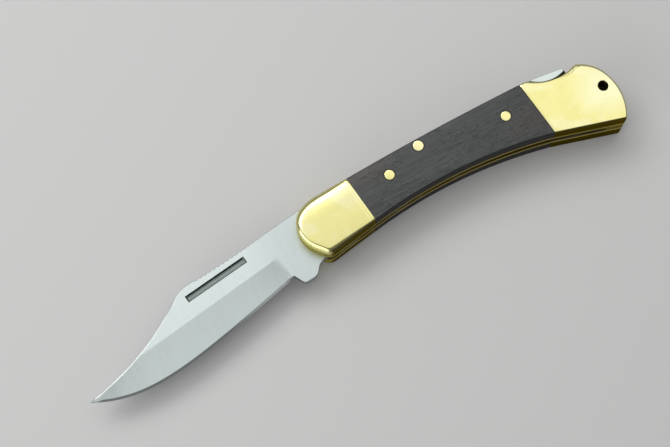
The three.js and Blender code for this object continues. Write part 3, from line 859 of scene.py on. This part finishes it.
def blade():
    """A ground clip-point blade in one piece with its tang, lofted through sections across its length."""
    edge = bezier(TIP, moved(TIP, 16, -8.8), moved(HEEL, -40, -8.8), HEEL, count=300)
    clip = bow(TIP, CLIP_END, 2.75, 160)
    corner = bezier(CLIP_END, moved(CLIP_END, 2, 1.35), SPINE_START, count=24)
    tang = [(-6.5, TANG_TOP), (SHOULDER_X, TANG_TOP)]
    spine = np.concatenate([clip, corner[1:], bow(SPINE_START, SPINE_END, 0.3, 60)[1:], tang])
    kick_front, kick_rear = np.array([-15.6, -9.6]), np.array([-11.2, -9.3])
    kick_foot, root = np.array([-8.9, -6.6]), np.array([-6.5, -5.5])

    def soft(before, middle, after, reach):
        """A rounded corner."""
        start = middle + reach * (before - middle) / np.linalg.norm(before - middle)
        end = middle + reach * (after - middle) / np.linalg.norm(after - middle)
        return bezier(start, middle, end, count=10)

    lobe_low = -math.degrees(math.asin(TANG_FOOT / LOBE))
    lobe_high = math.degrees(math.acos(SHOULDER_X / LOBE))
    under = np.concatenate(
        [
            edge,
            [CHOIL],
            soft(np.array(CHOIL), kick_front, kick_rear, 1.3),
            soft(kick_front, kick_rear, kick_foot, 1.3),
            [kick_foot, root, (0, -5.7)],
            polar(PIVOT, LOBE, np.linspace(lobe_low, -2, 24)),
        ]
    )
    over = polar(PIVOT, LOBE, np.linspace(lobe_high, 2, 24))
    tip_x = TIP[0] + TIP_FACE
    stations = np.r_[
        tip_x + (CLIP_END[0] - tip_x) * np.linspace(0, 1, 90) ** 1.6,
        np.linspace(CLIP_END[0], SPINE_START[0], 22)[1:],
        np.linspace(SPINE_START[0], -20.5, 260)[1:],
        np.linspace(-20.5, -6, 120)[1:],
        np.linspace(-6, SHOULDER_X - 1e-4, 20)[1:],
        SHOULDER_X + 1e-4,
        np.linspace(SHOULDER_X, 7.98, 16)[1:],
    ]
    low = np.interp(stations, under[:, 0], under[:, 1])
    high = np.where(
        stations < SHOULDER_X,
        np.interp(stations, spine[:, 0], spine[:, 1]),
        np.interp(stations, over[:, 0], over[:, 1]),
    )
    for i, depth in enumerate(THUMB_DEPTHS):
        centre = THUMB_START_X + i * THUMB_PITCH
        lift = np.interp(centre, spine[:, 0], spine[:, 1]) + THUMB_RADIUS - depth
        reach = THUMB_RADIUS**2 - (stations - centre) ** 2
        high = np.where(reach > 0, np.minimum(high, lift - np.sqrt(np.maximum(reach, 0))), high)

    ground = 1 - np.clip((stations - HEEL[0]) / (CHOIL[0] - HEEL[0]), 0, 1)
    honed_width = np.minimum(HONED_WIDTH, TIP_SHARE * (high - low))
    bevel = np.where(ground > 0, honed_width * ground + EDGE_BREAK * (1 - ground), EDGE_BREAK)
    bevel_top = low + bevel
    on_spine = stations > CLIP_END[0]
    fade = np.clip((CLIP_END[0] - stations) / 6, 0, 1)
    clip_break = np.minimum(BREAK_WIDTH + 0.2 * fade, TIP_SHARE * (high - bevel_top))
    break_foot = high - np.where(on_spine, BREAK_WIDTH, clip_break)
    grind_line = GRIND_START[1] + GRIND_SLOPE * (stations - GRIND_START[0])
    grind_row = np.clip(grind_line, bevel_top + 0.05, bevel_top + 0.85 * (break_foot - bevel_top))

    def half(x, y, bevel_foot, line):
        """Half the blade's thickness: it grows from the bevel to the grind line, and ends in the plunge."""
        share = np.clip((y - bevel_foot) / (line - bevel_foot), 0, 1)
        hollow = HONED_HALF + (HALF_BLADE - HONED_HALF) * share - HOLLOW * np.sin(np.pi * share)
        lean = PLUNGE_LEAN * np.clip((y - bevel_foot) / PLUNGE_HEIGHT, 0, 1) ** 2
        plunge = np.clip((x + lean - PLUNGE_START_X) / PLUNGE_LENGTH, 0, 1)
        plunge = plunge * plunge * (3 - 2 * plunge)
        return hollow + (HALF_BLADE - hollow) * plunge

    shares_low, shares_high = np.linspace(0, 1, 11), np.linspace(0, 1, 10)[1:]
    heights = np.concatenate(
        [
            low[None],
            bevel_top + shares_low[:, None] * (grind_row - bevel_top),
            grind_row + shares_high[:, None] * (break_foot - grind_row),
            high[None],
        ]
    )
    halves = half(stations, heights, bevel_top, np.maximum(grind_line, bevel_top + LEAST_GRIND))
    blunt = (halves[1] - EDGE_BREAK) * (1 - ground) + EDGE_HALF * ground
    halves[0] = np.where(stations < HEEL[0], EDGE_HALF, blunt)
    halves[-1] = halves[-2] - np.where(on_spine, EDGE_BREAK, np.minimum(EDGE_BREAK, TIP_SHARE * halves[-2]))
    count = len(heights)
    places, rows = [], []
    for i, x in enumerate(stations):
        side = np.c_[np.full(count, x), heights[:, i], halves[:, i]]
        other = side[::-1] * [1, 1, -1]
        rows.append(np.arange(2 * count) + i * 2 * count)
        places.append(np.concatenate([side, other]) + [0, 0, MIDDLE])
    faces = [f[::-1] for f in skin(rows)]
    finish_of = []
    honed = {0, 2 * count - 2}
    for i in range(len(rows) - 1):
        finish_of += [1 if j in honed and stations[i] < HEEL[0] + 0.3 else 0 for j in range(2 * count)]
    faces += [rows[0], rows[-1][::-1]]
    # The tip's end face takes the honed steel and with it the honed edge's painted shade.
    finish_of += [1, 0]
    piece = shape("blade_ground", np.concatenate(places), faces, BLADE_FINISHES, finish_of, BLADE_CREASE)
    pivot_hole = drill(PIVOT, PIVOT_RADIUS + 0.05, 0, THICKNESS, blade_steel)
    cut(piece, nail_groove(), pivot_hole, crease=BLADE_CREASE)
    return piece


def nail_groove():
    """A long square-ended pull with a floor that slopes up towards the edge, between two rounded walls."""
    lower_wall = bezier((-1.3, -0.03), (-1.15, -0.40), (-0.7, -0.44), count=12)
    rise = bezier((-0.6, -0.445), (-0.2, -0.46), (0.2, -0.64), count=8)
    upper_wall = bezier((0.3, -0.67), (0.72, -0.72), (0.95, 0.02), count=16)
    section = np.array([[0.95, 0.75], [-1.3, 0.75], *lower_wall, *rise, *upper_wall])
    turn = math.radians(NAIL_TURN)
    places = []
    for along, depth in ((0.0, 0.45), (0.45, 1.0), (NAIL_LENGTH - 0.5, 1.0), (NAIL_LENGTH, 0.45)):
        for across, lift in section * np.where(section[:, 1:] < 0, [1, depth], 1):
            x = NAIL_START[0] + along * math.cos(turn) - across * math.sin(turn)
            y = NAIL_START[1] + along * math.sin(turn) + across * math.cos(turn)
            places.append([x, y, MIDDLE + HALF_BLADE + lift])
    count = len(section)
    rows = [np.arange(count) + i * count for i in range(4)]
    faces = [*skin(rows), rows[0][::-1], rows[-1]]
    return shape("groove", places, faces, BLADE_FINISHES, [2] * len(faces))


blade_piece = blade()
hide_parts("blade")
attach(blade_piece, "blade")


# Smaller metal parts keep their made shape, with their edges broken


def eased(node, name, body, width, material):
    """A copy of a part with every sharp edge broken by a small rounded bevel."""
    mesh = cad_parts[node].data.copy()
    mesh.name = name
    mesh.materials.clear()
    mesh.materials.append(material)
    piece = bpy.data.objects.new(name, mesh)
    bpy.context.scene.collection.objects.link(piece)
    work = bmesh.new()
    work.from_mesh(mesh)
    bmesh.ops.remove_doubles(work, verts=work.verts, dist=MERGE_GAP)
    bmesh.ops.dissolve_limit(
        work, angle_limit=math.radians(0.3), verts=work.verts, edges=work.edges, use_dissolve_boundaries=False
    )
    for face in work.faces:
        face.material_index = 0
    work.to_mesh(mesh)
    work.free()
    modifier = piece.modifiers.new("ease", "BEVEL")
    modifier.width = width * MM
    modifier.segments = 2
    modifier.limit_method = "ANGLE"
    modifier.angle_limit = math.radians(35)
    flatten(piece)
    settle(piece.data, EASED_CREASE)
    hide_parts(node)
    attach(piece, body)


eased("lock_bar", "lock_bar_eased", "lock_bar", 0.15, bar_steel)
for side in ("left", "right"):
    eased(f"{side}_liner", f"liner_{side}", "handle", 0.07, liner_brass)
eased("rear_spacer", "spacer_rear", "handle", 0.07, spacer_brass)


# Pins and spring, made with geometry nodes


def geometry_tree(name, inputs):
    """An empty geometry tree with its named inputs, its group nodes and a shortcut to add nodes."""
    tree = bpy.data.node_groups.new(name, "GeometryNodeTree")
    tree.interface.new_socket("Geometry", in_out="INPUT", socket_type="NodeSocketGeometry")
    for word, kind in inputs.items():
        tree.interface.new_socket(word, in_out="INPUT", socket_type=f"NodeSocket{kind}")
    tree.interface.new_socket("Geometry", in_out="OUTPUT", socket_type="NodeSocketGeometry")
    start, end = tree.nodes.new("NodeGroupInput"), tree.nodes.new("NodeGroupOutput")

    def add(kind, links=(), **settings):
        node = tree.nodes.new(kind)
        for word, value in settings.items():
            setattr(node, word, value)
        for word, value in dict(links).items():
            if isinstance(value, bpy.types.NodeSocket):
                tree.links.new(value, node.inputs[word])
            else:
                node.inputs[word].default_value = value
        return node.outputs[0]

    return tree, start.outputs, end.inputs[0], add


def grown(name, points, spans, reaches, tree, values):
    """A piece grown by a tree from points, spans between them and one number for each point."""
    mesh = bpy.data.meshes.new(name)
    mesh.from_pydata([tuple(np.array(p) * MM) for p in points], spans, [])
    mesh.attributes.new("reach", "FLOAT", "POINT").data.foreach_set("value", [r * MM for r in reaches])
    piece = bpy.data.objects.new(name, mesh)
    bpy.context.scene.collection.objects.link(piece)
    modifier = piece.modifiers.new("grow", "NODES")
    modifier.node_group = tree
    sockets = {item.name: item.identifier for item in tree.interface.items_tree if item.in_out == "INPUT"}
    for word, value in values.items():
        modifier[sockets[word]] = value
    flatten(piece)
    return piece


def turned_tree():
    """Sweeps a ring along each line, wide as the line's own reach: a pin turned on a lathe."""
    tree, given, result, add = geometry_tree("turned pins", {"Facets": "Int", "Finish": "Material"})
    line = add("GeometryNodeMeshToCurve", {"Mesh": given["Geometry"]})
    reach = add("GeometryNodeInputNamedAttribute", {"Name": "reach"}, data_type="FLOAT")
    ring = add("GeometryNodeCurvePrimitiveCircle", {"Resolution": given["Facets"], "Radius": 1.0})
    swept = {"Curve": line, "Profile Curve": ring, "Scale": reach, "Fill Caps": True}
    body = add("GeometryNodeCurveToMesh", swept)
    body = add("GeometryNodeRealizeInstances", {"Geometry": body})
    tree.links.new(add("GeometryNodeSetMaterial", {"Geometry": body, "Material": given["Finish"]}), result)
    return tree


turned = turned_tree()


def turned_pins(name, pins):
    """Pins ground flush: each a little domed at its heads, with a broken edge."""
    points, spans, reaches, nodes = [], [], [], []
    for node, centre, radius, floor, ceiling in pins:
        low = [(share, floor - rise) for share, rise in PIN_DOME]
        high = [(share, ceiling + rise) for share, rise in PIN_DOME[::-1]]
        start = len(points)
        for share, z in low + high:
            points.append((*centre, z))
            reaches.append(max(share * radius, 0.001))
        spans += [(k, k + 1) for k in range(start, len(points) - 1)]
        nodes.append(node)
    piece = grown(name, points, spans, reaches, turned, {"Facets": 48, "Finish": pin_brass})
    settle(piece.data, ROUND_CREASE)
    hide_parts(*nodes)
    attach(piece, "handle")


def face_at(centre):
    """Height of the left face at one place."""
    return float(face_height(np.array([centre], float))[0])


scale_pins = []
for side in ("left", "right"):
    for end, centre in (("front", FRONT_PIN), ("rear", REAR_PIN)):
        top = face_at(centre)
        levels = (SLOT_CEILING, top) if side == "left" else (THICKNESS - top, THICKNESS - SLOT_CEILING)
        scale_pins.append((f"{side}_scale_pin_{end}", centre, SCALE_PIN_RADIUS, *levels))
turned_pins("scale_pins", scale_pins)
bar_top = face_at(BAR_PIN)
bar_pin = ("lock_bar_pin", BAR_PIN, BAR_PIN_RADIUS, THICKNESS - bar_top, bar_top)
turned_pins("bar_pin", [bar_pin])
bolster_pins = []
for node, centre, radius in (
    ("pivot_pin", PIVOT, PIVOT_RADIUS),
    ("rear_rivet_back", BACK_RIVET, RIVET_RADIUS),
    ("rear_rivet_belly", BELLY_RIVET, RIVET_RADIUS),
):
    rim = face_height(polar(centre, radius, np.arange(0, 360, 20)))
    top = float(rim.min()) - PIN_EASE
    bolster_pins.append((node, centre, radius, THICKNESS - top, top))
turned_pins("bolster_pins", bolster_pins)


def leaf_tree():
    """Sweeps a flat bar of given width and thickness along a line."""
    tree, given, result, add = geometry_tree(
        "flat spring", {"Width": "Float", "Thickness": "Float", "Finish": "Material"}
    )
    line = add("GeometryNodeMeshToCurve", {"Mesh": given["Geometry"]})
    line = add("GeometryNodeSetCurveNormal", {"Curve": line})
    sides = {"Width": given["Thickness"], "Height": given["Width"]}
    bar = add("GeometryNodeCurvePrimitiveQuadrilateral", sides)
    body = add("GeometryNodeCurveToMesh", {"Curve": line, "Profile Curve": bar, "Fill Caps": True})
    body = add("GeometryNodeRealizeInstances", {"Geometry": body})
    tree.links.new(add("GeometryNodeSetMaterial", {"Geometry": body, "Material": given["Finish"]}), result)
    return tree


def flat_spring(points, width, thickness):
    """The lock spring: a leaf swept along its drawn line, from beyond its seat to its tip at the lock bar."""
    middle_line = [(*point, MIDDLE) for point in points]
    spans = [(k, k + 1) for k in range(len(points) - 1)]
    values = {"Width": width * MM, "Thickness": thickness * MM, "Finish": spring_steel}
    piece = grown("leaf_spring", middle_line, spans, [1] * len(points), leaf_tree(), values)
    settle(piece.data, ROUND_CREASE)
    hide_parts("lock_spring")
    seat, tip = ([x * MM, y * MM, MIDDLE * MM] for x, y in (points[1], points[-1]))
    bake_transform(piece)


SPRING_SEAT, SPRING_TIP = (85.49, 2.95), (75.0, 6.52)
SPRING_BEND = 5.24
SPRING_WIDTH, SPRING_THICKNESS = 2.6, 0.7
bend = (moved(SPRING_SEAT, -SPRING_BEND, 0), moved(SPRING_TIP, SPRING_BEND, 0))
leaf = [moved(SPRING_SEAT, 5, 0), *bezier(SPRING_SEAT, *bend, SPRING_TIP, count=24)]
flat_spring(leaf, SPRING_WIDTH, SPRING_THICKNESS)


# Stage, in metres

FLOOR_REACH = 8.0
floor_mesh = bpy.data.meshes.new("floor")
floor_corners = [(FLOOR_REACH * x, FLOOR_REACH * y, 0) for x, y in ((-1, -1), (1, -1), (1, 1), (-1, 1))]
floor_mesh.from_pydata(floor_corners, [], [(0, 1, 2, 3)])
floor = bpy.data.objects.new("floor", floor_mesh)
bpy.context.scene.collection.objects.link(floor)
floor_finish = Finish("pale floor")
floor.data.materials.append(floor_finish.set(Base_Color=(0.62, 0.615, 0.605), Roughness=0.7))

world = bpy.data.worlds.new("studio")
bpy.context.scene.world = world
world.use_nodes = True
sky = world.node_tree.nodes["Background"].inputs
sky["Color"].default_value = (0.90, 0.92, 0.95, 1)
sky["Strength"].default_value = 0.28
bpy.context.scene.view_settings.view_transform = "Standard"


def softbox(name, place, aim, size, glow):
    """A large soft light, as bright as the given glow over its whole face."""
    light = bpy.data.lights.new(name, "AREA")
    light.shape = "RECTANGLE"
    light.size, light.size_y = size
    light.energy = glow * math.pi * size[0] * size[1]
    lamp = bpy.data.objects.new(name, light)
    lamp.location = place
    lamp.rotation_euler = (Vector(aim) - Vector(place)).to_track_quat("-Z", "Y").to_euler()
    bpy.context.scene.collection.objects.link(lamp)


KNIFE = (0.0, 0.0, 0.0)
softbox("overhead", (0.10, 0.27, 0.70), (0.10, 0.27, 0.0), (1.3, 0.88), 0.70)
softbox("overhead rear", (0.42, 0.22, 0.69), (0.42, 0.22, 0.0), (0.5, 0.5), 0.18)
softbox("back window", (-0.17, 0.68, 0.80), KNIFE, (1.0, 0.55), 2.4)
softbox("left window", (-0.88, -0.06, 0.42), KNIFE, (0.9, 0.48), 1.7)
softbox("corner window", (-0.72, -0.64, 0.34), KNIFE, (0.5, 0.55), 1.5)

# Camera at the photograph's angle
FOCAL_LENGTH, SENSOR_WIDTH = 75.2, 36
CAMERA_PLACE = (-0.05541, -0.10192, 0.42721)
CAMERA_RIGHT = (0.86899606, -0.49479391, -0.00498411)
CAMERA_UP = (0.47711818, 0.83519753, 0.27350197)
lens = bpy.data.cameras.new("camera")
lens.sensor_width = SENSOR_WIDTH
lens.lens = FOCAL_LENGTH
lens.clip_start, lens.clip_end = 0.01, 20
camera = bpy.data.objects.new("camera", lens)
right, up = Vector(CAMERA_RIGHT).normalized(), Vector(CAMERA_UP).normalized()
turn = Matrix((right, up, right.cross(up))).transposed().to_4x4()
camera.matrix_world = Matrix.Translation(CAMERA_PLACE) @ turn
bpy.context.scene.collection.objects.link(camera)
bpy.context.scene.camera = camera
